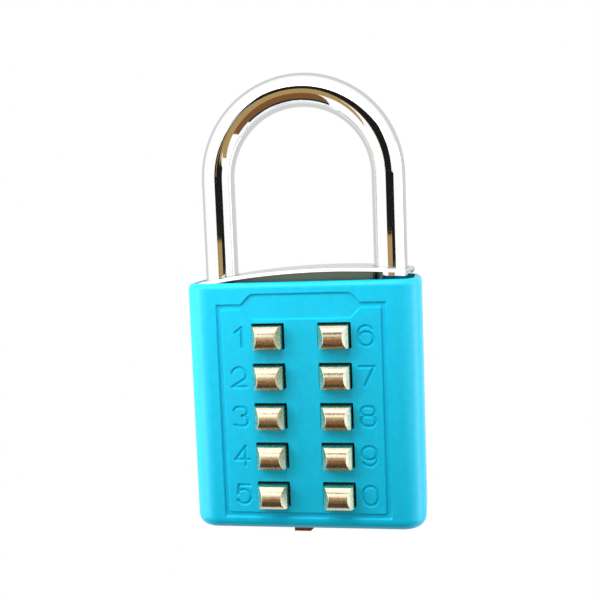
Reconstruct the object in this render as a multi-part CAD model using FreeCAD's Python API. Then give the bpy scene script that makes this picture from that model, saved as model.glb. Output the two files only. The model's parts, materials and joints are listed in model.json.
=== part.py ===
import FreeCAD, Part
import math
import os

# A pushbutton combination padlock, upright and seen from the front: +X to the right,
# +Y to the back, +Z up to the shackle. Millimetres. The origin is under the middle of
# the lock, level with the lowest point of the release button.

V = FreeCAD.Vector
X_AXIS, Y_AXIS, Z_AXIS = V(1, 0, 0), V(0, 1, 0), V(0, 0, 1)

# Case: a painted cup, open at the top. Its width and height follow from what it holds.
case_depth = 16.0
wall = 1.2
floor_wall = 1.85
corner_radius = 4.3
rim_round = 1.1
base_round = 2.0

# Raised border, name panel and numerals sunk in the front
sunk_depth = 0.38
sunk_draft = 0.28
border_side_room = 1.55
border_top_drop = 4.25
border_bottom = 2.8
border_line = 0.6
border_corner = 0.35
panel_side_inset = 4.25
panel_height = 4.2
panel_bevel = 1.6
panel_corner = 1.5
numeral_height = 4.15
numeral_width = 3.3
numeral_stroke = 0.7
numeral_floor = 0.2
numeral_depth = 0.3
numeral_drop = 0.1
numeral_spacing = 5.5

# Buttons
rows = 5
row_web = 1.69
centre_web = 0.55
window_width = 5.8
window_height = 4.65
window_round = 0.2
window_bevel = 0.12
head_gap = 0.3
button_proud = 3.1
crown_rise = 0.65
edge_bevel = 0.35
facet_run = 0.95
facet_drop = 1.45
head_edge_round = 0.1
flange_side_lap = 0.4
flange_end_lap = 0.3
flange_thickness = 0.7
neck_radius = 0.65
blade_width = 2.4
blade_height = 2.8
notch_depth = 0.75
code_travel = 2.2
blade_tip = 0.5

# Shackle
shackle_radius = 3.0
shackle_rise = 36.9
lift = 12.0
toe_tail = 3.9
heel_grip = 5.1
toe_round = 0.9
heel_foot = 3.0
heel_end_round = 0.5
neck_of_heel_radius = 1.8
latch_notch_depth = 1.1
latch_notch_height = 1.4

# Release button and the gate plate that it lifts
knob_width = 3.6
knob_depth = 3.2
knob_offset = -1.5
knob_setback = 4.9
knob_proud = 1.85
knob_bevel = 0.6
release_travel = 1.7
foot_width = 3.6
foot_height = 1.5
foot_wrap = 0.7
plate_thickness = 0.8
plate_side_rib = 2.8
plate_border = 0.9
plate_corner_cut = 2.4
tooth_width = 1.6
tooth_reach = 0.6
lip_half_width = 2.0
lip_thickness = 0.8
lip_slack = 0.5
plate_lift = 0.3
foot_inset = 0.4

# Latch spring: a strip with a bent middle, whose two arms hold the legs
latch_thickness = 0.6
latch_width = 2.3
latch_arch_half = 5.0
latch_arch_rise = 2.2
latch_grip = 0.8

# Inner block, its plates and its screws
slide_gap = 0.1
keeper_thickness = 0.6
keeper_margin = 1.6
keeper_lift = 0.54
web_thickness = 0.6
latch_lid = 0.4
leg_inner_web = 1.4
leg_outer_web = 1.0
spring_solid_length = 0.9
cover_thickness = 1.0
cover_ledge = 0.7
cover_setback = 1.0
chamber_rear_room = 0.9
side_wall_of_chamber = 0.2
cap_thickness = 1.7
cap_sheet = 0.6
cap_web_step = 0.95
cap_edge_round = 0.2
cap_rise_left = -0.35
cap_rise_middle = 2.15
cap_rise_right = 1.3
cap_crest_offset = 3.0
heel_floor = 1.8
toe_web = 5.3
boss_radius = 2.6
boss_height = 5.0
case_screw_radius = 1.25
case_screw_head_radius = 2.3
case_screw_head_height = 1.6
small_screw_radius = 0.8
small_screw_head_radius = 1.5
small_screw_head_height = 0.8
small_screw_grip = 3.3
post_radius = 1.4
retaining_pin_radius = 0.9
retaining_pin_margin = 0.6

# Coil springs: wire diameter and turns, with the runs in a turn and the wire's flats
coil_steps = 12
coil_sides = 8
button_spring_wire = 0.25
button_spring_turns = 4
shackle_spring_wire = 0.7
shackle_spring_turns = 7
release_spring_wire = 0.3
release_spring_radius = 0.95
release_spring_turns = 5
release_spring_room = 3.2

# Clearances between pieces, and how far a cutter stands out of the face that it cuts
running_gap = 0.1
small_gap = 0.05
fit_gap = 0.15
leg_hole_gap = 0.2
notch_gap = 0.2
spring_gap = 0.2
pin_gap = 0.3
plate_side_gap = 0.3
cutter_reach = 0.1

# Planes across the depth, from the front
front_y = (button_proud - case_depth) / 2
back_y = front_y + case_depth
leg_y = (front_y + back_y) / 2
crown_y = front_y - button_proud
inner_front_y = front_y + wall
inner_back_y = back_y - wall
core_front_y = inner_front_y + slide_gap
core_back_y = inner_back_y - slide_gap
keeper_back_y = core_front_y + keeper_thickness
flange_front_y = keeper_back_y + small_gap
flange_back_y = flange_front_y + flange_thickness
button_travel = button_proud + wall + small_gap
pocket_floor_y = flange_back_y + button_travel + spring_solid_length
chamber_front_y = pocket_floor_y + web_thickness
plate_front_y = chamber_front_y + running_gap
plate_back_y = plate_front_y + plate_thickness
notch_front_y = plate_front_y - notch_gap
notch_back_y = plate_back_y + notch_gap
blade_end_y = notch_back_y + blade_tip
cover_front_y = plate_back_y + chamber_rear_room
cover_back_y = cover_front_y + cover_thickness
knob_front_y = front_y + knob_setback
knob_back_y = knob_front_y + knob_depth
foot_back_y = plate_back_y + foot_wrap
release_spring_y = knob_front_y + release_spring_radius + release_spring_wire + spring_gap
latch_back_y = chamber_front_y - running_gap
latch_front_y = latch_back_y - latch_width

# Widths, from the middle
flange_width = window_width + 2 * flange_side_lap
flange_height = window_height + 2 * flange_end_lap
column_offset = foot_width / 2 + fit_gap + centre_web + running_gap + flange_width / 2
numeral_offset = column_offset + numeral_spacing
border_half_width = numeral_offset + numeral_width / 2 + border_side_room
panel_half_width = border_half_width - panel_side_inset
plate_half_width = column_offset + blade_width / 2 + plate_side_gap + plate_side_rib
chamber_half_width = plate_half_width + side_wall_of_chamber
cover_half_width = chamber_half_width + cover_ledge
leg_bore_radius = shackle_radius + running_gap
leg_offset = cover_half_width + leg_inner_web + leg_bore_radius
core_half_width = leg_offset + leg_bore_radius + leg_outer_web
case_width = 2 * (core_half_width + slide_gap + wall)

# Levels, from the bottom
case_bottom = knob_proud
floor_top = case_bottom + floor_wall
foot_bottom = floor_top + running_gap
foot_top = foot_bottom + foot_height
foot_room = foot_top + release_travel + running_gap
plate_seat = foot_bottom + foot_height / 2 - small_gap
plate_bottom = floor_top + plate_lift
knob_block_top = floor_top - foot_inset
release_spring_seat = foot_room + release_spring_room
row_pitch = flange_height + 2 * running_gap + row_web
lowest_row = floor_top + keeper_lift + keeper_margin + flange_height / 2
row_levels = [lowest_row + i * row_pitch for i in reversed(range(rows))]
post_levels = [sum(row_levels[:2]) / 2, row_levels[rows // 2], sum(row_levels[-2:]) / 2]
pocket_half_height = flange_height / 2 + running_gap
latch_bottom = row_levels[0] + pocket_half_height + small_gap + web_thickness
latch_top = latch_bottom + latch_thickness
latch_roof = latch_top + latch_arch_rise + release_travel - lip_slack + running_gap
lip_top = latch_bottom + latch_arch_rise - lip_slack
plate_top = row_levels[0] + blade_height / 2 + fit_gap + plate_border
cover_bottom = foot_bottom + cover_setback
cover_top = latch_roof - running_gap
core_top = latch_roof + latch_lid
case_top = core_top + cap_thickness
border_top = case_top - border_top_drop
crown_top = case_top + shackle_rise
crown_centre = crown_top - leg_offset - shackle_radius
leg_notch_bottom = latch_bottom - running_gap
toe_end = leg_notch_bottom - toe_tail
toe_seat = floor_top + boss_height + toe_web
neck_top = leg_notch_bottom - heel_grip
retaining_pin_level = neck_top - pin_gap - retaining_pin_radius
neck_bottom = retaining_pin_level - retaining_pin_radius - lift - running_gap
heel_end = neck_bottom - heel_foot
heel_seat = floor_top + heel_floor


def block(x0, x1, y0, y1, z0, z1):
    """A box between two corners."""
    return Part.makeBox(x1 - x0, y1 - y0, z1 - z0, V(x0, y0, z0))


def upright(radius, x, y, z0, z1):
    """A round bar or bore along Z."""
    return Part.makeCylinder(radius, z1 - z0, V(x, y, z0), Z_AXIS)


def across(radius, x, z, y0, y1):
    """A round bar or bore along Y, from front to back."""
    return Part.makeCylinder(radius, y1 - y0, V(x, y0, z), Y_AXIS)


def rounded_outline(half_x, half_z, radius, place):
    """A closed wire round a rectangle, in the plane that place gives for (u, v)."""
    r = min(radius, half_x, half_z)
    k = r * (1 - math.sqrt(0.5))
    edges = []
    corners = [(1, 1), (-1, 1), (-1, -1), (1, -1)]
    for i, (sx, sz) in enumerate(corners):
        side = (sx * half_x, sz * (half_z - r))
        cap = (sx * (half_x - r), sz * half_z)
        first, last = (side, cap) if i % 2 == 0 else (cap, side)
        middle = (sx * (half_x - k), sz * (half_z - k))
        edges.append(Part.Arc(place(*first), place(*middle), place(*last)).toShape())
        nx, nz = corners[(i + 1) % 4]
        start = last
        end = (nx * (half_x - r), nz * half_z) if i % 2 == 0 else (nx * half_x, nz * (half_z - r))
        if math.dist(start, end) > 1e-6:
            edges.append(Part.makeLine(place(*start), place(*end)))
    return Part.Wire(edges)


def plan_prism(half_x, half_y, radius, z0, z1):
    """An upright prism with rounded corners, centred on the legs' plane."""
    outline = rounded_outline(half_x, half_y, radius, lambda u, v: V(u, leg_y + v, z0))
    return Part.Face(outline).extrude(Z_AXIS * (z1 - z0))


def edges_at_level(shape, level):
    """The edges that lie wholly at one height."""
    found = []
    for edge in shape.Edges:
        box = edge.BoundBox
        if abs(box.ZMin - level) < 1e-4 and abs(box.ZMax - level) < 1e-4:
            found.append(edge)
    return found


def sunk_loft(outline, depth, draft):
    """A recess cutter in the front face: outline(offset, y) gives its wire at a depth."""
    inner = outline(0, front_y + depth)
    outer = outline(draft * (1 + cutter_reach / depth), front_y - cutter_reach)
    return Part.makeLoft([inner, outer], True, True)


def border_outline(grow):
    """The border's outer or inner edge, as an outline for sunk_loft."""
    half_x = border_half_width + grow
    low = case_bottom + border_bottom
    half_z = (border_top - low) / 2 + grow
    middle = (border_top + low) / 2

    def outline(offset, y):
        step = offset if grow > 0 else -offset

        def place(u, v):
            return V(u, y, middle + v)

        return rounded_outline(half_x + step, half_z + step, border_corner, place)

    return outline


def rounded_polygon(points, radii):
    """A closed wire round a polygon, with each corner rounded by its own radius."""
    edges = []
    ends = []
    for i, corner in enumerate(points):
        before = (points[i - 1] - corner).normalize()
        after = (points[(i + 1) % len(points)] - corner).normalize()
        half_angle = before.getAngle(after) / 2
        reach = radii[i] / math.tan(half_angle)
        inward = (before + after).normalize()
        middle = corner + inward * (radii[i] / math.sin(half_angle) - radii[i])
        first, last = corner + before * reach, corner + after * reach
        if radii[i] > 0:
            edges.append(Part.Arc(first, middle, last).toShape())
        ends.append((first, last))
    for i in range(len(points)):
        edges.append(Part.makeLine(ends[i - 1][1], ends[i][0]))
    return Part.Wire(Part.__sortEdges__(edges))


def panel_outline(offset, y):
    """The bare name panel: a long octagon whose ends run into the border."""
    shift = offset * math.tan(math.radians(22.5))
    top = panel_height / 2 + offset
    end = panel_half_width + offset
    flat = panel_half_width - panel_bevel + shift
    side = panel_height / 2 - panel_bevel + shift
    ring = [(flat, top), (end, side), (end, -side), (flat, -top)]
    ring += [(-flat, -top), (-end, -side), (-end, side), (-flat, top)]
    points = [V(u, y, border_top + v) for u, v in ring]
    return rounded_polygon(points, [panel_corner, 0, 0, panel_corner] * 2)


def window_outline(x, z):
    """A button window's edge, as an outline for sunk_loft."""

    def outline(offset, y):
        return rounded_outline(
            window_width / 2 + offset,
            window_height / 2 + offset,
            window_round + offset,
            lambda u, v: V(x + u, y, z + v),
        )

    return outline


def sunk_stroke(outline):
    """A cutter with sloping sides: outline(half_width, y) gives the stroke's edge at a depth."""
    slope = (numeral_stroke - numeral_floor) / 2 / numeral_depth
    inner = outline(numeral_floor / 2, front_y + numeral_depth)
    outer = outline(numeral_stroke / 2 + slope * cutter_reach, front_y - cutter_reach)
    return Part.makeLoft([inner, outer], True, True)


def line_stroke(x, z, start, end):
    """A straight stroke with round ends."""
    (u0, v0), (u1, v1) = start, end
    length = math.dist(start, end)
    du, dv = (u1 - u0) / length, (v1 - v0) / length

    def outline(r, y):
        def at(u, v):
            return V(x + u, y, z + v)

        first, second = at(u0 - dv * r, v0 + du * r), at(u1 - dv * r, v1 + du * r)
        third, fourth = at(u1 + dv * r, v1 - du * r), at(u0 + dv * r, v0 - du * r)
        edges = [
            Part.makeLine(first, second),
            Part.Arc(second, at(u1 + du * r, v1 + dv * r), third).toShape(),
            Part.makeLine(third, fourth),
            Part.Arc(fourth, at(u0 - du * r, v0 - dv * r), first).toShape(),
        ]
        return Part.Wire(edges)

    return sunk_stroke(outline)


def arc_stroke(x, z, centre, radius, first, last):
    """A curved stroke with round ends, between two angles in degrees."""
    middle = (first + last) / 2
    ahead = 1 if last > first else -1

    def outline(r, y):
        def at(distance, angle):
            turn = math.radians(angle)
            u, v = centre[0] + distance * math.cos(turn), centre[1] + distance * math.sin(turn)
            return V(x + u, y, z + v)

        def tip(angle, way):
            turn = math.radians(angle + 90)
            return at(radius, angle) + V(way * r * math.cos(turn), 0, way * r * math.sin(turn))

        outer, inner = radius + r, radius - r
        edges = [
            Part.Arc(at(outer, first), at(outer, middle), at(outer, last)).toShape(),
            Part.Arc(at(outer, last), tip(last, ahead), at(inner, last)).toShape(),
            Part.Arc(at(inner, last), at(inner, middle), at(inner, first)).toShape(),
            Part.Arc(at(inner, first), tip(first, -ahead), at(outer, first)).toShape(),
        ]
        return Part.Wire(edges)

    return sunk_stroke(outline)


def ring_stroke(x, z, level, half_x, half_z):
    """A closed stroke round a flat-sided oval."""
    radius = min(half_x, half_z)

    def edge(way):
        def outline(r, y):
            grow = way * r
            return rounded_outline(
                half_x + grow, half_z + grow, radius + grow, lambda u, v: V(x + u, y, z + level + v)
            )

        return outline

    return sunk_stroke(edge(1)).cut(sunk_stroke(edge(-1)))


def numeral(digit, x, z):
    """The cutters for one plain numeral, centred at (x, z) on the front."""
    h = (numeral_height - numeral_stroke) / 2
    w = (numeral_width - numeral_stroke) / 2
    turned = -1 if digit == "9" else 1

    def line(start, end):
        return line_stroke(x, z, start, end)

    def arc(centre, radius, first, last):
        return arc_stroke(x, z, centre, radius, first, last)

    def ring(level, half_x, half_z):
        return ring_stroke(x, z, level, half_x, half_z)

    if digit == "0":
        return [ring(0, w, h)]
    if digit == "1":
        return [line((0.6 * w, -h), (0.6 * w, h)), line((0.6 * w, h), (-0.3 * w, 0.5 * h))]
    if digit == "2":
        last, inset = -40, 0.95
        turn = math.radians(last)
        knee = (inset * w * math.cos(turn), h - w + inset * w * math.sin(turn))
        return [arc((0, h - w), w, 165, last), line(knee, (-w, -h)), line((-w, -h), (w, -h))]
    if digit == "3":
        small, large = 0.46 * h, 0.54 * h
        level = front_y - 2 * cutter_reach
        gap = block(x - numeral_width, x, level, level + 2 * numeral_depth, z - 0.7 * h, z + 0.6 * h)
        bowls = [ring(h - small, 0.92 * w, small), ring(large - h, w, large)]
        return [bowl.cut(gap) for bowl in bowls]
    if digit == "4":
        stem, bar = 0.45 * w, -0.4 * h
        return [line((stem, -h), (stem, h)), line((stem, h), (-w, bar)), line((-w, bar), (w, bar))]
    if digit == "5":
        corner = (-0.7 * w, h)
        bowl = arc((-0.05 * w, w - h), w, 143, -150)
        return [line(corner, (0.85 * w, h)), line(corner, (-0.85 * w, 0.02 * h)), bowl]
    if digit == "7":
        return [line((-w, h), (w, h)), line((w, h), (-0.35 * w, -h))]
    if digit == "8":
        small, large = 0.46 * h, 0.54 * h
        return [ring(h - small, 0.92 * w, small), ring(large - h, w, large)]
    bowl = 0.9 * w
    side = line((-turned * w, turned * (bowl - h)), (-turned * w, turned * (h - w)))
    first = 180 if turned > 0 else 0
    hook = arc((0, turned * (h - w)), w, first, first - 145)
    return [ring(turned * (bowl - h), w, bowl), side, hook]


def button_places():
    """Each button's numeral with the middle of its window and its numeral's side."""
    left = [(str(i + 1), -column_offset, row_levels[i], -1) for i in range(rows)]
    right = [(str((i + 6) % 10), column_offset, row_levels[i], 1) for i in range(rows)]
    return left + right


def knob_slot(gap, z0, z1):
    """The release button's square bar, or the slot that it slides in."""
    x0 = knob_offset - knob_width / 2 - gap
    x1 = knob_offset + knob_width / 2 + gap
    return block(x0, x1, knob_front_y - gap, knob_back_y + gap, z0, z1)


def make_case():
    half_x, half_y = case_width / 2, case_depth / 2
    shell = plan_prism(half_x, half_y, corner_radius, case_bottom, case_top)
    shell = shell.makeFillet(rim_round, edges_at_level(shell, case_top))
    shell = shell.makeFillet(base_round, edges_at_level(shell, case_bottom))
    inner_radius = corner_radius - wall
    hollow = plan_prism(half_x - wall, half_y - wall, inner_radius, floor_top, case_top + wall)
    shell = shell.cut(hollow)
    boss = upright(boss_radius, leg_offset, leg_y, floor_top, floor_top + boss_height)
    thread = upright(case_screw_radius, leg_offset, leg_y, floor_top, floor_top + boss_height)
    shell = shell.fuse(boss).cut(thread)
    shell = shell.cut(knob_slot(fit_gap, case_bottom - wall, floor_top + wall))
    outer = sunk_loft(border_outline(border_line / 2), sunk_depth, sunk_draft)
    island = sunk_loft(border_outline(-border_line / 2), sunk_depth, sunk_draft)
    panel = sunk_loft(panel_outline, sunk_depth, sunk_draft)
    shell = shell.cut(outer.cut(island).fuse(panel))
    for digit, x, z, side in button_places():
        opening = window_outline(x, z)
        mouth = sunk_loft(opening, window_bevel, window_bevel)
        hole = Part.Face(opening(0, front_y - wall)).extrude(Y_AXIS * (3 * wall))
        shell = shell.cut(hole.fuse(mouth))
        for stroke in numeral(digit, side * numeral_offset, z - numeral_drop):
            shell = shell.cut(stroke)
    return shell


def make_cap():
    half_x = core_half_width
    half_y = case_depth / 2 - wall - slide_gap
    radius = corner_radius - wall - slide_gap
    rise = max(cap_rise_left, cap_rise_middle, cap_rise_right)
    lid = plan_prism(half_x, half_y, radius, core_top, case_top + rise + wall)
    left = V(-half_x - wall, 0, case_top + cap_rise_left)
    crest = V(cap_crest_offset, 0, case_top + cap_rise_middle)
    right = V(half_x + wall, 0, case_top + cap_rise_right)
    outline = [
        Part.Arc(left, crest, right).toShape(),
        Part.makeLine(right, V(right.x, 0, core_top - wall)),
        Part.makeLine(V(right.x, 0, core_top - wall), V(left.x, 0, core_top - wall)),
        Part.makeLine(V(left.x, 0, core_top - wall), left),
    ]
    profile = Part.Face(Part.Wire(outline))
    profile.translate(V(0, front_y, 0))
    lid = lid.common(profile.extrude(Y_AXIS * case_depth))
    room = lid.translated(V(0, 0, -cap_sheet))
    upper = [e for e in lid.Edges if e.BoundBox.ZMin > core_top + cap_thickness / 2]
    lid = lid.makeFillet(cap_edge_round, upper)
    # Under the sheet only a web between the legs reaches down to the inner block.
    web_x, web_y = leg_offset - shackle_radius, shackle_radius + cap_web_step
    low, high = core_top - wall, case_top + rise + wall
    room = room.cut(block(-web_x, web_x, leg_y - web_y, leg_y + web_y, low, high))
    lid = lid.cut(room)
    for side in (-1, 1):
        hole = upright(shackle_radius + leg_hole_gap, side * leg_offset, leg_y, core_top - wall, crown_top)
        lid = lid.cut(hole)
    return lid


def latch_strip(gap):
    """The latch spring's bent strip, or with a gap the room for its two arms."""
    tip = leg_offset - shackle_radius + latch_grip
    low, high = latch_bottom - gap, latch_top + gap
    return block(-tip, tip, latch_front_y - gap, latch_back_y + gap, low, high)


def make_latch_spring():
    """A strip with two straight arms and an arched middle that the gate plate pushes."""
    tip = leg_offset - shackle_radius + latch_grip
    arch, rise, t = latch_arch_half, latch_arch_rise, latch_thickness
    y = latch_front_y

    def at(x, z):
        return V(x, y, latch_bottom + z)

    edges = [
        Part.makeLine(at(-tip, 0), at(-arch, 0)),
        Part.Arc(at(-arch, 0), at(0, rise), at(arch, 0)).toShape(),
        Part.makeLine(at(arch, 0), at(tip, 0)),
        Part.makeLine(at(tip, 0), at(tip, t)),
        Part.makeLine(at(tip, t), at(arch + t / 2, t)),
        Part.Arc(at(arch + t / 2, t), at(0, rise + t), at(-arch - t / 2, t)).toShape(),
        Part.makeLine(at(-arch - t / 2, t), at(-tip, t)),
        Part.makeLine(at(-tip, t), at(-tip, 0)),
    ]
    return Part.Face(Part.Wire(edges)).extrude(Y_AXIS * latch_width)


def keeper_block(gap):
    """The button keeper's plate, or with a gap its recess in the inner block."""
    half = column_offset + flange_width / 2 + keeper_margin + gap
    low = row_levels[-1] - flange_height / 2 - keeper_margin - gap
    high = row_levels[0] + flange_height / 2 + fit_gap + gap
    return block(-half, half, core_front_y, keeper_back_y, low, high)


def cover_block(gap, y0, y1):
    """The rear cover, or with a gap the recess behind it."""
    half = cover_half_width + gap
    return block(-half, half, y0, y1, cover_bottom - gap, cover_top + gap)


def countersunk_screw(z):
    """A keeper screw, with its head flush in the keeper."""
    head = Part.makeCone(
        small_screw_radius + keeper_thickness,
        small_screw_radius,
        keeper_thickness,
        V(0, core_front_y, z),
        Y_AXIS,
    )
    return head.fuse(across(small_screw_radius, 0, z, keeper_back_y, keeper_back_y + small_screw_grip))


def cover_screw(z):
    """A cover screw in its post, with a round head on the cover."""
    shank = across(small_screw_radius, 0, z, cover_front_y - small_screw_grip, cover_back_y)
    head = across(small_screw_head_radius, 0, z, cover_back_y, cover_back_y + small_screw_head_height)
    return shank.fuse(head)


def retaining_pin_x():
    """The pin runs beside the heel leg's neck, towards the middle of the lock."""
    return -leg_offset + neck_of_heel_radius + retaining_pin_radius + running_gap


def retaining_pin():
    y0, y1 = core_front_y + retaining_pin_margin, core_back_y - retaining_pin_margin
    return across(retaining_pin_radius, retaining_pin_x(), retaining_pin_level, y0, y1)


def make_core():
    half_y = case_depth / 2 - wall - slide_gap
    radius = corner_radius - wall - slide_gap
    core = plan_prism(core_half_width, half_y, radius, floor_top, core_top)
    cuts = [keeper_block(small_gap)]
    for _, x, z, _ in button_places():
        half = flange_width / 2 + running_gap
        tall = pocket_half_height
        cuts.append(block(x - half, x + half, core_front_y, pocket_floor_y, z - tall, z + tall))
        half = blade_width / 2 + small_gap
        tall = blade_height / 2 + small_gap
        cuts.append(block(x - half, x + half, pocket_floor_y, chamber_front_y, z - tall, z + tall))
    # the plate's chamber, open at the bottom, then the cover's recess behind it
    chamber_top = plate_top + release_travel + running_gap
    half = chamber_half_width
    cuts.append(block(-half, half, chamber_front_y, cover_front_y, floor_top, chamber_top))
    cuts.append(cover_block(running_gap, cover_front_y, core_back_y))
    # the latch spring's slot and the room over its arch
    cuts.append(latch_strip(small_gap))
    half = latch_arch_half + latch_thickness
    front, low = latch_front_y - small_gap, latch_bottom - small_gap
    cuts.append(block(-half, half, front, cover_front_y, low, latch_roof))
    # the release button's bar and foot, and its return spring
    cuts.append(knob_slot(fit_gap, floor_top, knob_block_top + release_travel + running_gap))
    half = foot_width / 2 + fit_gap
    cuts.append(block(-half, half, knob_front_y - fit_gap, cover_front_y, floor_top, foot_room))
    spring_bore = release_spring_radius + release_spring_wire / 2 + running_gap
    cuts.append(upright(spring_bore, 0, release_spring_y, foot_room, release_spring_seat))
    # the shackle's two bores, the retaining pin and the case screw
    cuts.append(upright(leg_bore_radius, -leg_offset, leg_y, heel_seat, core_top))
    cuts.append(upright(leg_bore_radius, leg_offset, leg_y, toe_seat, core_top))
    cuts.append(retaining_pin())
    cuts.append(upright(case_screw_radius + running_gap, leg_offset, leg_y, floor_top, toe_seat))
    boss_room = floor_top + boss_height + small_gap
    cuts.append(upright(boss_radius + running_gap, leg_offset, leg_y, floor_top, boss_room))
    core = core.cut(cuts)
    for z in post_levels:
        core = core.fuse(across(post_radius, 0, z, chamber_front_y, cover_front_y))
    holes = [cover_screw(z) for z in post_levels] + [countersunk_screw(z) for z in post_levels]
    return core.cut(holes)


def make_keeper():
    plate = keeper_block(0)
    for _, x, z, _ in button_places():
        hole = Part.Face(window_outline(x, z)(0, core_front_y)).extrude(Y_AXIS * keeper_thickness)
        plate = plate.cut(hole)
    return plate.cut([countersunk_screw(z) for z in post_levels])


def make_cover():
    plate = cover_block(0, cover_front_y, cover_back_y)
    for _, x, z, _ in button_places():
        half = blade_width / 2 + fit_gap
        tall = blade_height / 2 + fit_gap
        plate = plate.cut(block(x - half, x + half, cover_front_y, cover_back_y, z - tall, z + tall))
    return plate.cut([cover_screw(z) for z in post_levels])


def make_case_screw():
    head_top = toe_seat + case_screw_head_height
    head = upright(case_screw_head_radius, leg_offset, leg_y, toe_seat, head_top)
    shank = upright(case_screw_radius, leg_offset, leg_y, floor_top + small_gap, toe_seat)
    slot = block(
        leg_offset - case_screw_head_radius,
        leg_offset + case_screw_head_radius,
        leg_y - case_screw_radius / 4,
        leg_y + case_screw_radius / 4,
        head_top - case_screw_head_height / 2,
        head_top,
    )
    return head.fuse(shank).cut(slot)


def make_shackle():
    """A round bar bent to a half circle, with a long heel leg and a short toe leg."""
    heel = upright(shackle_radius, -leg_offset, leg_y, heel_end, crown_centre)
    toe = upright(shackle_radius, leg_offset, leg_y, toe_end, crown_centre)
    heel = heel.makeFillet(heel_end_round, edges_at_level(heel, heel_end))
    toe = toe.makeFillet(toe_round, edges_at_level(toe, toe_end))
    ring = Part.makeTorus(leg_offset, shackle_radius, V(0, leg_y, crown_centre), Y_AXIS)
    reach = leg_offset + 2 * shackle_radius
    upper = block(-reach, reach, leg_y - reach, leg_y + reach, crown_centre, crown_centre + reach)
    bar = ring.common(upper).fuse(heel).fuse(toe).removeSplitter()
    neck_ring = upright(shackle_radius + wall, -leg_offset, leg_y, neck_bottom, neck_top)
    neck_ring = neck_ring.cut(upright(neck_of_heel_radius, -leg_offset, leg_y, neck_bottom, neck_top))
    bar = bar.cut(neck_ring)
    for side in (-1, 1):
        inside = leg_offset - shackle_radius
        xs = sorted((side * (inside - wall), side * (inside + latch_notch_depth)))
        top = leg_notch_bottom + latch_notch_height
        cut = block(xs[0], xs[1], leg_y - reach, leg_y + reach, leg_notch_bottom, top)
        bar = bar.cut(cut)
    return bar


def make_release_button():
    bar = knob_slot(0, 0, knob_block_top)
    low_edges = []
    for edge in bar.Edges:
        box = edge.BoundBox
        if box.ZMax < 1e-6 and box.YLength > knob_depth / 2 and box.XMin > knob_offset:
            low_edges.append(edge)
    bar = bar.makeChamfer(knob_bevel, low_edges)
    foot = block(-foot_width / 2, foot_width / 2, knob_front_y, foot_back_y, foot_bottom, foot_top)
    slot = block(-foot_width, foot_width, plate_front_y, plate_back_y, plate_seat, foot_top)
    shoulder = knob_offset + knob_width / 2
    riser = block(-foot_width / 2, shoulder, knob_front_y, knob_back_y, knob_block_top, foot_bottom)
    return bar.fuse(riser).fuse(foot).cut(slot).removeSplitter()


def make_gate_plate():
    """A sliding plate: its ten teeth meet the buttons' notches, its lip lifts the latch spring."""
    half = plate_half_width
    cut = plate_corner_cut
    outline = [(-half, plate_bottom), (half, plate_bottom), (half, plate_top - cut)]
    outline += [(half - cut, plate_top), (cut - half, plate_top), (-half, plate_top - cut)]
    outline += outline[:1]
    face = Part.Face(Part.makePolygon([V(x, plate_front_y, z) for x, z in outline]))
    plate = face.extrude(Y_AXIS * plate_thickness)
    half = lip_half_width
    tab = block(-half, half, plate_front_y, plate_back_y, plate_top, lip_top)
    lip_front = latch_front_y + fit_gap
    lip = block(-half, half, lip_front, plate_front_y, lip_top - lip_thickness, lip_top)
    plate = plate.fuse(tab).fuse(lip)
    for _, x, z, _ in button_places():
        half = blade_width / 2 + plate_side_gap
        top = z + blade_height / 2 + fit_gap
        bottom = z - blade_height / 2 - small_gap - release_travel
        window = block(x - half, x + half, plate_front_y, plate_back_y, bottom, top)
        half = tooth_width / 2
        tooth_top = z - blade_height / 2 + tooth_reach - release_travel
        tooth = block(x - half, x + half, plate_front_y, plate_back_y, bottom, tooth_top)
        plate = plate.cut(window.cut(tooth))
    for z in post_levels:
        r = post_radius + fit_gap
        slot = block(-r, r, plate_front_y, plate_back_y, z - release_travel, z)
        ends = [across(r, 0, level, plate_front_y, plate_back_y) for level in (z - release_travel, z)]
        plate = plate.cut([slot] + ends)
    half = foot_width / 2
    seat = block(-half, half, plate_front_y, plate_back_y, plate_bottom - wall, plate_seat)
    return plate.cut(seat).removeSplitter()


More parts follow.
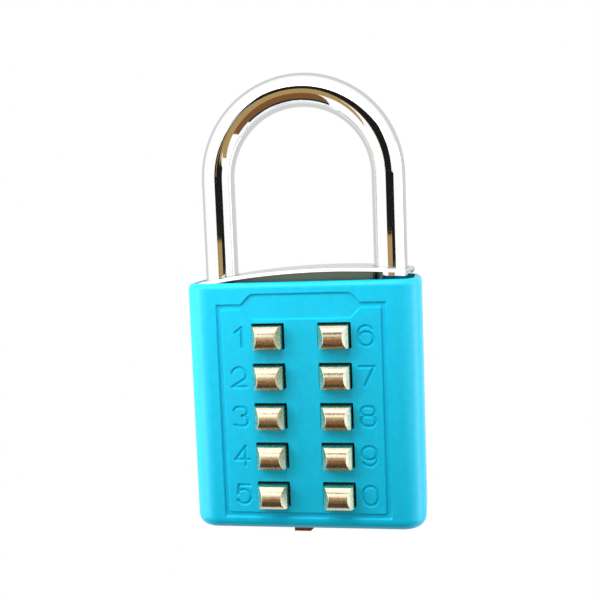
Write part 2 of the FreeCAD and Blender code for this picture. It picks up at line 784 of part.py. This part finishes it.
def make_button(x, z):
    """A crowned head, a flange behind the keeper, a thin neck and a notched blade."""
    half_x = window_width / 2 - head_gap
    half_z = window_height / 2 - head_gap
    edge_y = crown_y + crown_rise
    flank_y = edge_y + edge_bevel

    def side(y, v):
        return V(x - half_x, y, z + v)

    upper_edge, lower_edge = side(edge_y, half_z - edge_bevel), side(edge_y, edge_bevel - half_z)
    crown = [
        Part.Arc(upper_edge, side(crown_y, 0), lower_edge).toShape(),
        Part.makeLine(lower_edge, side(flank_y, -half_z)),
        Part.makeLine(side(flank_y, -half_z), side(flange_front_y, -half_z)),
        Part.makeLine(side(flange_front_y, -half_z), side(flange_front_y, half_z)),
        Part.makeLine(side(flange_front_y, half_z), side(flank_y, half_z)),
        Part.makeLine(side(flank_y, half_z), upper_edge),
    ]
    head = Part.Face(Part.Wire(crown)).extrude(X_AXIS * (2 * half_x))

    def above(u, y):
        return V(x + u, y, z - half_z)

    ring = [(half_x, flange_front_y), (half_x, crown_y + facet_drop), (half_x - facet_run, crown_y)]
    ring += [(facet_run - half_x, crown_y), (-half_x, crown_y + facet_drop), (-half_x, flange_front_y)]
    facets = Part.Face(Part.makePolygon([above(u, y) for u, y in ring + ring[:1]]))
    head = head.common(facets.extrude(Z_AXIS * (2 * half_z)))
    front_edges = [e for e in head.Edges if e.BoundBox.YMax < front_y]
    head = head.makeFillet(head_edge_round, front_edges)
    flange = block(
        x - flange_width / 2,
        x + flange_width / 2,
        flange_front_y,
        flange_back_y,
        z - flange_height / 2,
        z + flange_height / 2,
    )
    # fully pressed, the thin neck stands where the plate's teeth are, and clears them
    blade_front_y = notch_back_y - button_travel + running_gap
    neck = across(neck_radius, x, z, flange_back_y, blade_front_y)
    half, tall = blade_width / 2, blade_height / 2
    blade = block(x - half, x + half, blade_front_y, blade_end_y, z - tall, z + tall)
    lower = block(
        x - blade_width,
        x + blade_width,
        notch_front_y,
        notch_back_y,
        z - blade_height,
        z - tall + notch_depth,
    )
    code_y = notch_front_y - code_travel
    upper = block(
        x - blade_width,
        x + blade_width,
        code_y,
        code_y + notch_back_y - notch_front_y,
        z + tall - notch_depth,
        z + blade_height,
    )
    return head.fuse(flange).fuse(neck).fuse(blade.cut(lower).cut(upper)).removeSplitter()


def coil(radius, wire, length, turns):
    """A coil spring along Z, standing on z = 0 and as long as its seats are apart."""
    rise = (length - wire) / turns
    tilt = math.degrees(math.atan2(rise, 2 * math.pi * radius))
    sections = []
    for step in range(turns * coil_steps + 1):
        ring = []
        for side in range(coil_sides + 1):
            turn = 2 * math.pi * side / coil_sides
            ring.append(V(radius + wire / 2 * math.cos(turn), 0, wire / 2 * math.sin(turn)))
        section = Part.makePolygon(ring)
        section.rotate(V(radius, 0, 0), X_AXIS, tilt)
        section.rotate(V(0, 0, 0), Z_AXIS, 360 * step / coil_steps)
        section.translate(V(0, 0, wire / 2 + rise * step / coil_steps))
        sections.append(section)
    return Part.makeLoft(sections, True, True)


def make_button_spring(x, z):
    inner = math.hypot(blade_width, blade_height) / 2 + running_gap
    radius = inner + button_spring_wire / 2
    length = pocket_floor_y - flange_back_y
    spring = coil(radius, button_spring_wire, length, button_spring_turns)
    spring.rotate(V(0, 0, 0), X_AXIS, -90)
    spring.translate(V(x, flange_back_y, z))
    return spring


def make_shackle_spring():
    radius = leg_bore_radius - spring_gap - shackle_spring_wire / 2
    spring = coil(radius, shackle_spring_wire, heel_end - heel_seat, shackle_spring_turns)
    spring.translate(V(-leg_offset, leg_y, heel_seat))
    return spring


def make_release_spring():
    length = release_spring_seat - foot_top
    spring = coil(release_spring_radius, release_spring_wire, length, release_spring_turns)
    spring.translate(V(0, release_spring_y, foot_top))
    return spring


os.makedirs("parts", exist_ok=True)


def write(name, shape):
    shape.exportStep("parts/" + name + ".step")
    solids = shape.Solids
    print(name, len(solids), "solid(s)", round(sum(s.Volume for s in solids), 2), "mm3", shape.isValid())


write("case", make_case())
write("top_cap", make_cap())
write("core_body", make_core())
write("button_keeper", make_keeper())
write("keeper_screws", Part.makeCompound([countersunk_screw(z) for z in post_levels]))
write("core_cover", make_cover())
write("cover_screws", Part.makeCompound([cover_screw(z) for z in post_levels]))
write("case_screw", make_case_screw())
write("retaining_pin", retaining_pin())
write("latch_spring", make_latch_spring())
write("shackle_spring", make_shackle_spring())
write("release_spring", make_release_spring())
write("shackle", make_shackle())
write("gate_plate", make_gate_plate())
write("release_button", make_release_button())
for digit, x, z, _ in button_places():
    write("button_" + digit, make_button(x, z))
    write("button_spring_" + digit, make_button_spring(x, z))
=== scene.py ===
# %% [markdown]
# # A push button padlock, dressed around its working model
#
# The real object is a small keyless padlock: a cyan enamelled case with ten
# metal push buttons, a polished cap, a chromed shackle and a brown release
# button underneath. All its solids come from the engineering model, numerals
# and border included, so this lesson models nothing again. It gives every
# piece a finish, sets up a light tent and places the camera.

# %% Load the imported lock
import json
import math

import bmesh
import bpy
from mathutils import Matrix, Vector

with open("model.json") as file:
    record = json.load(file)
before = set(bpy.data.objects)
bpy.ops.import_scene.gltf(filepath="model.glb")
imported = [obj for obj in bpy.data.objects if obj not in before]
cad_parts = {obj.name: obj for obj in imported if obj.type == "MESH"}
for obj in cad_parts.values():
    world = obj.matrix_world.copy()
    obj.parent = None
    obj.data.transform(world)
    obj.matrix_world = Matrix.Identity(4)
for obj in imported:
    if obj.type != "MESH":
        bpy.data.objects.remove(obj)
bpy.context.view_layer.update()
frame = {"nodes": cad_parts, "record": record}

# %% [markdown]
# ## The camera
#
# A product photograph like this one is taken from close by, so nearer parts
# look larger. The camera stands about 16 cm in front of the lock, a little to
# its right and above its middle. It could be placed by eye, but its place and
# turn were found by matching the case's outline, the windows and the shackle,
# so they are given as measured numbers.

# %% Put the camera where the photographer stood
MM = 0.001
YAW, PITCH, ROLL = (math.radians(a) for a in (-9.3299, 5.5601, -2.1683))
CAMERA_PLACE = Vector((24.90, -157.39, 58.32)) * MM
FOCAL_PIXELS = 880.45
PICTURE_PIXELS = 600
SENSOR = 36.0


def camera_axes(yaw, pitch, roll):
    """The camera's right, viewing and up directions, as three rows."""
    turn = Matrix.Rotation(yaw, 3, "Z")
    nod = Matrix.Rotation(pitch, 3, "X")
    lean = Matrix.Rotation(roll, 3, "Y")
    return lean @ nod @ turn


right, ahead, up = camera_axes(YAW, PITCH, ROLL)
lens_data = bpy.data.cameras.new("photo_camera")
lens_data.sensor_width = SENSOR
lens_data.lens = FOCAL_PIXELS / PICTURE_PIXELS * SENSOR
lens_data.clip_start = 10 * MM
lens_data.clip_end = 20.0
camera = bpy.data.objects.new("photo_camera", lens_data)
bpy.context.scene.collection.objects.link(camera)
turned = Matrix((right, up, -ahead)).transposed().to_4x4()
camera.matrix_world = Matrix.Translation(CAMERA_PLACE) @ turned
bpy.context.scene.camera = camera
print("lens in mm:", round(lens_data.lens, 2))

# %% [markdown]
# ## A blank finish
#
# Every finish in this lesson is one Principled BSDF with a few nodes in front
# of it. A new material arrives with nodes of its own, and starting from an
# empty tree makes sure that nothing but what is written here is in it.

# %% Start a material
def new_material(name):
    """A material with an empty node tree and its Principled BSDF."""
    material = bpy.data.materials.new(name)
    material.use_nodes = True
    tree = material.node_tree
    tree.nodes.clear()
    output = tree.nodes.new("ShaderNodeOutputMaterial")
    shader = tree.nodes.new("ShaderNodeBsdfPrincipled")
    tree.links.new(shader.outputs["BSDF"], output.inputs["Surface"])
    return material, tree, shader


# %% [markdown]
# ## The grain of a surface
#
# No real surface is even: enamel has a faint orange peel, plating has pits and
# a casting is rough. All of these can be one noise at different sizes, so it
# is built once as a node group and placed in every finish with its own values.
# It reads Object coordinates, which keeps the grain fixed to a piece that moves.

# %% Build the grain once
GRAIN_INPUTS = ("Scale", "Detail", "Strength", "Height")


def surface_grain_group():
    """Noise grain on the object: a mask from 0 to 1 and a bumped normal."""
    group = bpy.data.node_groups.new("surface_grain", "ShaderNodeTree")
    sides = group.interface
    for name in GRAIN_INPUTS:
        sides.new_socket(name, in_out="INPUT", socket_type="NodeSocketFloat")
    sides.new_socket("Mask", in_out="OUTPUT", socket_type="NodeSocketFloat")
    sides.new_socket("Normal", in_out="OUTPUT", socket_type="NodeSocketVector")
    inner, links = group.nodes, group.links
    start = inner.new("NodeGroupInput")
    end = inner.new("NodeGroupOutput")
    place = inner.new("ShaderNodeTexCoord")
    noise = inner.new("ShaderNodeTexNoise")
    bump = inner.new("ShaderNodeBump")
    links.new(place.outputs["Object"], noise.inputs["Vector"])
    links.new(start.outputs["Scale"], noise.inputs["Scale"])
    links.new(start.outputs["Detail"], noise.inputs["Detail"])
    links.new(noise.outputs["Fac"], bump.inputs["Height"])
    links.new(start.outputs["Strength"], bump.inputs["Strength"])
    links.new(start.outputs["Height"], bump.inputs["Distance"])
    links.new(noise.outputs["Fac"], end.inputs["Mask"])
    links.new(bump.outputs["Normal"], end.inputs["Normal"])
    return group


SURFACE_GRAIN = surface_grain_group()
print("the grain takes", ", ".join(GRAIN_INPUTS))

# %% Use the grain in a finish
def add_grain(tree, scale, detail, strength, height_mm):
    """Place the shared grain in a material."""
    grain = tree.nodes.new("ShaderNodeGroup")
    grain.node_tree = SURFACE_GRAIN
    values = (scale, detail, strength, height_mm * MM)
    for name, value in zip(GRAIN_INPUTS, values):
        grain.inputs[name].default_value = value
    return grain


GRAIN_LOW, GRAIN_HIGH = 0.3, 0.7


def add_ramp(tree, grain, low, high):
    """A colour that goes from one to another as the grain's mask rises."""
    ramp = tree.nodes.new("ShaderNodeValToRGB")
    stops = ((GRAIN_LOW, low), (GRAIN_HIGH, high))
    for element, (position, colour) in zip(ramp.color_ramp.elements, stops):
        element.position = position
        element.color = (*colour, 1)
    tree.links.new(grain.outputs["Mask"], ramp.inputs["Fac"])
    return ramp.outputs["Color"]


# %% [markdown]
# ## Enamel
#
# The case is painted in a glossy cyan. The paint is strongly coloured, so its
# red is almost nothing, and what lightens the sides in the photograph is the
# white tent in its gloss. A clear coat could give that gloss too, but the
# paint's own reflection is enough and keeps the front's colour deep.

# %% Mix the enamel
ENAMEL_DARK, ENAMEL_LIGHT = (0.002, 0.50, 0.76), (0.003, 0.54, 0.80)
ENAMEL_ROUGHNESS, ENAMEL_SPECULAR = 0.30, 0.35


def enamel_finish():
    """Glossy paint with a faint unevenness."""
    material, tree, shader = new_material("cyan_enamel")
    grain = add_grain(tree, scale=900.0, detail=2.0, strength=0.06, height_mm=0.01)
    colour = add_ramp(tree, grain, ENAMEL_DARK, ENAMEL_LIGHT)
    tree.links.new(colour, shader.inputs["Base Color"])
    tree.links.new(grain.outputs["Normal"], shader.inputs["Normal"])
    shader.inputs["Roughness"].default_value = ENAMEL_ROUGHNESS
    shader.inputs["Specular IOR Level"].default_value = ENAMEL_SPECULAR
    return material


finishes = {"cyan_enamel": enamel_finish()}
print("mixed", ", ".join(finishes))

# %% [markdown]
# ## Bare and plated metals
#
# Chrome is a nearly perfect mirror that turns into the room around it, though a
# plated bar still shows fine pits. The buttons have a satin champagne plating
# and the knob is browned. The inner pieces keep their workshop finishes. They
# differ only in colour, gloss and grain, so one recipe makes all of them, and
# the same mask moves colour and gloss together as wear does.

# %% One recipe for every metal
METAL_DETAIL = 6.0


def metal(name, dark, light, rough, scale, strength, height_mm):
    """A metal whose colour and gloss follow one grain."""
    material, tree, shader = new_material(name)
    grain = add_grain(tree, scale, METAL_DETAIL, strength, height_mm)
    colour = add_ramp(tree, grain, dark, light)
    gloss = add_ramp(tree, grain, (rough[0],) * 3, (rough[1],) * 3)
    tree.links.new(colour, shader.inputs["Base Color"])
    tree.links.new(gloss, shader.inputs["Roughness"])
    tree.links.new(grain.outputs["Normal"], shader.inputs["Normal"])
    shader.inputs["Metallic"].default_value = 1.0
    return material


# name: dark colour, light colour, roughness, grain's scale, strength and height
METALS = {
    "shackle_chrome": ((0.82,) * 3, (0.90,) * 3, (0.02, 0.06), 2500, 0.06, 0.01),
    "cap_chrome": ((0.93,) * 3, (0.97,) * 3, (0.10, 0.2), 1500, 0.1, 0.01),
    "champagne_plate": ((0.74, 0.62, 0.42), (0.88, 0.78, 0.57), (0.20, 0.30), 3500, 0.2, 0.02),
    "browned_knob": ((0.24, 0.10, 0.065), (0.42, 0.21, 0.15), (0.3, 0.5), 2000, 0.3, 0.02),
    "cast_zinc": ((0.40,) * 3, (0.55,) * 3, (0.45, 0.65), 1200, 0.5, 0.04),
    "plain_brass": ((0.55, 0.38, 0.14), (0.72, 0.53, 0.22), (0.25, 0.4), 1500, 0.2, 0.02),
    "blackened_steel": ((0.008,) * 3, (0.02,) * 3, (0.4, 0.6), 1500, 0.2, 0.02),
    "zinc_plate": ((0.45, 0.46, 0.48), (0.60, 0.61, 0.62), (0.25, 0.4), 1500, 0.2, 0.02),
    "spring_wire": ((0.42, 0.42, 0.43), (0.58, 0.58, 0.60), (0.2, 0.35), 3000, 0.2, 0.01),
}
for metal_name, recipe in METALS.items():
    finishes[metal_name] = metal(metal_name, *recipe)
print(len(finishes), "finishes mixed")

# %% [markdown]
# ## Where a finish ends
#
# Two finishes stop part of the way over a piece. A button is plated where a
# finger meets it and painted near black inside the case as painted shade, and
# the cap's sheet is polished over a dull upright web that carries a painted
# reflection, below a painted highlight on its front edge. Each could be cut
# into two pieces, but the real ones are single, so a mask on the piece's own
# coordinates changes the finish.

# %% Masks on a piece
def add_mask(tree, coordinate, axis, low, high):
    """0 at one value of an object coordinate or normal and 1 at another."""
    place = tree.nodes.new("ShaderNodeTexCoord")
    split = tree.nodes.new("ShaderNodeSeparateXYZ")
    step = tree.nodes.new("ShaderNodeMapRange")
    tree.links.new(place.outputs[coordinate], split.inputs["Vector"])
    tree.links.new(split.outputs[axis], step.inputs["Value"])
    step.inputs["From Min"].default_value = low
    step.inputs["From Max"].default_value = high
    return step.outputs["Result"]


def both(tree, first, second):
    """The product of two masks."""
    product = tree.nodes.new("ShaderNodeMath")
    product.operation = "MULTIPLY"
    tree.links.new(first, product.inputs[0])
    tree.links.new(second, product.inputs[1])
    return product.outputs["Value"]


def shader_of(tree):
    """The material's Principled BSDF."""
    return next(node for node in tree.nodes if node.type == "BSDF_PRINCIPLED")


def refinish(tree, mask, colour, rough):
    """Change a metal's colour and roughness where a mask is 1."""
    shader = shader_of(tree)
    for name, value in (("Base Color", colour), ("Roughness", (rough,) * 3)):
        mix = tree.nodes.new("ShaderNodeMix")
        mix.data_type = "RGBA"
        tree.links.new(mask, mix.inputs["Factor"])
        tree.links.new(shader.inputs[name].links[0].from_socket, mix.inputs["A"])
        mix.inputs["B"].default_value = (*value, 1)
        tree.links.new(mix.outputs["Result"], shader.inputs[name])


# %% [markdown]
# ### The painted shade on the buttons
#
# Seen through its window, the part of a button behind the case's face is
# nearly black with shade. That shade is painted: the plating's colour fades to
# near black in half a millimetre of depth, a little under the face.

# %% Paint shade on the buttons under the case's face
# The plating fades into painted shade between these depths; the near black is painted shade
# inside the window, not bare metal.
PAINTED_SHADE_FADE = (-5.6 * MM, -5.1 * MM)
BUTTON_PAINTED_SHADE, BUTTON_SHADE_ROUGHNESS = (0.01, 0.01, 0.01), 0.6

plating = finishes["champagne_plate"].node_tree
window_shade_mask = add_mask(plating, "Object", "Y", *PAINTED_SHADE_FADE)
# Painted shade: below the case's face the plating's colour turns near black.
refinish(plating, window_shade_mask, BUTTON_PAINTED_SHADE, BUTTON_SHADE_ROUGHNESS)
print("plating fades out between", [round(y / MM, 1) for y in PAINTED_SHADE_FADE], "mm")

# %% [markdown]
# ### The cap's sheet and web
#
# Three things on the cap look different: the top of the sheet is a mirror, its
# front edge is white, and the web below it is a dull grey green. The white
# edge is a painted highlight and the grey green is a painted reflection of
# the enamel and the dark room. Upright faces have a normal whose Z is small,
# and the web stands further back than the edge, so the two are told apart by
# depth. The painted highlight isn't metallic.

# %% Dull the web, paint a reflection on it and a highlight on the edge
UPRIGHT_NORMAL = (0.6, 0.3)
WEB_REACH, WEB_INSIDE = 4.8 * MM, 4.5 * MM
# The web's grey green is a painted reflection and the edge's white is a painted highlight.
WEB_PAINTED_REFLECTION, WEB_ROUGHNESS = (0.30, 0.40, 0.34), 0.4
EDGE_PAINTED_HIGHLIGHT, EDGE_ROUGHNESS = (0.95, 0.95, 0.95), 0.5

cap = finishes["cap_chrome"].node_tree
upright = add_mask(cap, "Normal", "Z", *UPRIGHT_NORMAL)
web = upright
for side in (-1, 1):
    web = both(cap, web, add_mask(cap, "Object", "Y", side * WEB_REACH, side * WEB_INSIDE))
# Painted reflection: the upright web is tinted grey green.
refinish(cap, web, WEB_PAINTED_REFLECTION, WEB_ROUGHNESS)
edge = both(cap, upright, add_mask(cap, "Object", "Y", -WEB_INSIDE, -WEB_REACH))
# Painted highlight: the front edge is painted white and not metallic.
refinish(cap, edge, EDGE_PAINTED_HIGHLIGHT, EDGE_ROUGHNESS)

metallic = cap.nodes.new("ShaderNodeMapRange")
cap.links.new(edge, metallic.inputs["Value"])
metallic.inputs["To Min"].default_value = 1.0
metallic.inputs["To Max"].default_value = 0.0
cap.links.new(metallic.outputs["Result"], shader_of(cap).inputs["Metallic"])
print("the cap's web lies within", round(WEB_INSIDE / MM, 1), "mm of the middle")

# %% [markdown]
# ## Dress the pieces
#
# The model names a kind of material for each of its pieces, and a finish is
# chosen from that. The cap and the shackle are both chromed, but the cap's
# sheet is less even and carries the painted reflection and highlight, so the
# cap gets a chrome of its own.

# %% Give every node of the model its finish
FINISH_OF_SLOT = {
    "enamel": "cyan_enamel",
    "chrome": "shackle_chrome",
    "champagne_nickel": "champagne_plate",
    "bronze_brown": "browned_knob",
    "die_cast_zinc": "cast_zinc",
    "brass": "plain_brass",
    "steel": "zinc_plate",
    "black_steel": "blackened_steel",
    "spring_steel": "spring_wire",
}
FINISH_OF_NODE = {"top_cap": "cap_chrome"}

slot_of_node = {p["node"]: p["material_slot"] for p in frame["record"]["subparts"]}
for node, piece in frame["nodes"].items():
    chosen = FINISH_OF_NODE.get(node, FINISH_OF_SLOT[slot_of_node[node]])
    for slot in piece.material_slots:
        slot.material = finishes[chosen]
print(len(frame["nodes"]), "nodes dressed")

# %% [markdown]
# ## The light tent
#
# Bright metal is only as good as what it reflects. The photograph was taken
# in a white tent, on a white ground that shows no shadow, so the background is
# plain white and no floor is needed. One white can't serve every ray: the
# camera has to see full white, the paint needs less light than that, and metal
# shows a tent that is whiter in front than behind. Light Path tells the three
# kinds of ray apart.

# %% Three whites for three kinds of ray
WHITE_BACKGROUND = 1.0
LIGHT_ON_PAINT = 0.75
TENT_IN_FRONT, TENT_BEHIND = 1.45, 0.9
TENT_FADE = (0.1, 0.4)

world = bpy.data.worlds.new("light_tent")
bpy.context.scene.world = world
world.use_nodes = True
sky = world.node_tree
sky.nodes.clear()
sky_output = sky.nodes.new("ShaderNodeOutputWorld")
path = sky.nodes.new("ShaderNodeLightPath")


def even_glow(strength):
    """An even white background of one strength."""
    background = sky.nodes.new("ShaderNodeBackground")
    background.inputs["Color"].default_value = (1, 1, 1, 1)
    background.inputs["Strength"].default_value = strength
    return background


def tent_glow():
    """What metal reflects: greyer behind the lock and white in front of it."""
    background = sky.nodes.new("ShaderNodeBackground")
    place = sky.nodes.new("ShaderNodeTexCoord")
    split = sky.nodes.new("ShaderNodeSeparateXYZ")
    step = sky.nodes.new("ShaderNodeMapRange")
    sky.links.new(place.outputs["Generated"], split.inputs["Vector"])
    sky.links.new(split.outputs["Y"], step.inputs["Value"])
    step.inputs["From Min"].default_value, step.inputs["From Max"].default_value = TENT_FADE
    step.inputs["To Min"].default_value = TENT_IN_FRONT
    step.inputs["To Max"].default_value = TENT_BEHIND
    sky.links.new(step.outputs["Result"], background.inputs["Strength"])
    return background


def choose(mask, otherwise, chosen):
    """Pick one background for one kind of ray."""
    mix = sky.nodes.new("ShaderNodeMixShader")
    sky.links.new(path.outputs[mask], mix.inputs["Fac"])
    sky.links.new(otherwise.outputs[0], mix.inputs[1])
    sky.links.new(chosen.outputs[0], mix.inputs[2])
    return mix


lit = choose("Is Diffuse Ray", tent_glow(), even_glow(LIGHT_ON_PAINT))
seen = choose("Is Camera Ray", lit, even_glow(WHITE_BACKGROUND))
sky.links.new(seen.outputs["Shader"], sky_output.inputs["Surface"])
bpy.context.scene.view_settings.view_transform = "Standard"
print("tent glow from", TENT_IN_FRONT, "in front to", TENT_BEHIND, "behind")

# %% [markdown]
# ## Softboxes
#
# The tent alone would light all sides alike. In the photograph the case's left
# side is the brightest, its right side comes next and its front darkens
# downwards. Large lamps near the lock give that. They are hidden from mirrors,
# because the cards below say what the metal reflects.

# %% Hang the lamps
def facing_matrix(centre, target, axis):
    """Place something at a point in millimetres with one axis turned to another."""
    look = (Vector(target) - Vector(centre)).to_track_quat(axis, "Y").to_matrix().to_4x4()
    return Matrix.Translation(Vector(centre) * MM) @ look


def softbox(name, centre, size, watts, target):
    """A rectangular lamp, in millimetres, turned towards a point."""
    lamp = bpy.data.lights.new(name, "AREA")
    lamp.shape = "RECTANGLE"
    lamp.size, lamp.size_y = size[0] * MM, size[1] * MM
    lamp.energy = watts
    piece = bpy.data.objects.new(name, lamp)
    piece.matrix_world = facing_matrix(centre, target, "-Z")
    bpy.context.scene.collection.objects.link(piece)
    piece.visible_camera = False
    piece.visible_glossy = False
    return piece


LOCK_MIDDLE = (0, 0, 30)
lamps = [
    softbox("key", (-170, -170, 190), (120, 120), 0.35, LOCK_MIDDLE),
    softbox("top", (-5, -60, 112), (60, 30), 0.055, (0, -6, 30)),
    softbox("left_near", (-62, -28, 30), (20, 90), 0.014, (-14, -6, 25)),
    softbox("left_strip", (-200, 10, 30), (100, 260), 0.22, LOCK_MIDDLE),
    softbox("right_strip", (200, 10, 30), (100, 260), 0.35, LOCK_MIDDLE),
]
print(len(lamps), "lamps,", round(sum(lamp.data.energy for lamp in lamps), 3), "watts in all")

# %% [markdown]
# ## Cards for the reflections
#
# The dark and tan bands in the shackle and the brown lower halves of the
# buttons are the room: a dark camera with a tan hand beside it, a dark opening
# behind it and a tan table. A card is a flat glowing sheet that stands in for
# each. The camera doesn't see the cards and they throw no shadow. They belong
# to the studio, not to the lock.

# %% A glowing card
def card(name, colour, strength, centre, size, target):
    """A flat glowing card, in millimetres, turned towards a point."""
    mesh = bmesh.new()
    bmesh.ops.create_grid(mesh, x_segments=1, y_segments=1, size=0.5)
    bmesh.ops.scale(mesh, vec=Vector((size[0], size[1], 1)) * MM, verts=mesh.verts)
    bmesh.ops.transform(mesh, matrix=facing_matrix(centre, target, "Z"), verts=mesh.verts)
    data = bpy.data.meshes.new(name)
    mesh.to_mesh(data)
    mesh.free()
    piece = bpy.data.objects.new(name, data)
    bpy.context.scene.collection.objects.link(piece)
    material = bpy.data.materials.new(name)
    material.use_nodes = True
    tree = material.node_tree
    tree.nodes.clear()
    glow = tree.nodes.new("ShaderNodeEmission")
    glow.inputs["Color"].default_value = (*colour, 1)
    glow.inputs["Strength"].default_value = strength
    output = tree.nodes.new("ShaderNodeOutputMaterial")
    tree.links.new(glow.outputs["Emission"], output.inputs["Surface"])
    data.materials.append(material)
    piece.visible_camera = False
    piece.visible_shadow = False
    return piece


def wall_card(name, colour, y, x0, x1, z0, z1):
    """An upright card in front of the lock, between two corners."""
    centre = ((x0 + x1) / 2, y, (z0 + z1) / 2)
    return card(name, colour, 1.0, centre, (x1 - x0, z1 - z0), (centre[0], 0, centre[2]))


TABLE_LEVEL, ABOVE_TABLE = -20, 100


def table_card(name, colour, x0, x1, y0, y1):
    """A level card below the lock, between two corners."""
    centre = ((x0 + x1) / 2, (y0 + y1) / 2, TABLE_LEVEL)
    above = (centre[0], centre[1], ABOVE_TABLE)
    return card(name, colour, 1.0, centre, (x1 - x0, y1 - y0), above)


# %% [markdown]
# ### The room, the camera and the table
#
# The curved shackle squeezes the whole room into narrow bands, so the cards'
# edges decide where each band starts. The far wall stands 600 mm away and the
# camera's dark shape 90 mm away, and the table darkens towards the lock, where
# the lock itself shades it.

# %% Set up the room
# The near table card's dark brown is a painted shadow of the lock on the table.
BLACK, TABLE_PAINTED_SHADOW = (0.012, 0.012, 0.012), (0.04, 0.025, 0.015)
TAN, BROWN = (0.47, 0.31, 0.12), (0.22, 0.10, 0.035)
ROOM_WALL, CAMERA_WALL = -600, -90

wall_card("room_dark", BLACK, ROOM_WALL, -160, 490, 38, 110)
wall_card("room_corner", BLACK, ROOM_WALL, 195, 490, 0, 38)
wall_card("room_tan", TAN, ROOM_WALL, -160, 195, -20, 38)
wall_card("camera_top", BLACK, CAMERA_WALL, -36, 60, 84, 115)
wall_card("camera_side", BLACK, CAMERA_WALL, -10, 60, 69, 84)
wall_card("camera_hand", TAN, CAMERA_WALL, -21, -10, 69, 84)
table_card("table_far", TAN, -185, 280, -600, -200)
table_card("table_middle", BROWN, -60, 100, -200, -45)
# Painted shadow: the table card next to the lock is dark where the lock would shade it.
table_card("near_table_painted_shadow", TABLE_PAINTED_SHADOW, -60, 60, -45, -8)
print("nine cards for the room")

# %% [markdown]
# ### Bright cards
#
# The tent's ceiling and its two lit sides are brighter than the rest. They make
# the buttons' upper halves nearly white and the case's rounded corners light.
# Only mirrors see them, because the softboxes already light the paint.

# %% Light the tent's ceiling and sides
WHITE = (1, 1, 1)
bright_cards = [
    card("ceiling", WHITE, 2.3, (0, -220, 260), (400, 260), (0, 0, 40)),
    card("left_glow", WHITE, 3.0, (-160, -90, 30), (60, 200), LOCK_MIDDLE),
    card("right_glow", WHITE, 2.5, (170, 20, 30), (60, 200), LOCK_MIDDLE),
]
for bright in bright_cards:
    bright.visible_diffuse = False
print(len(bright_cards), "bright cards")
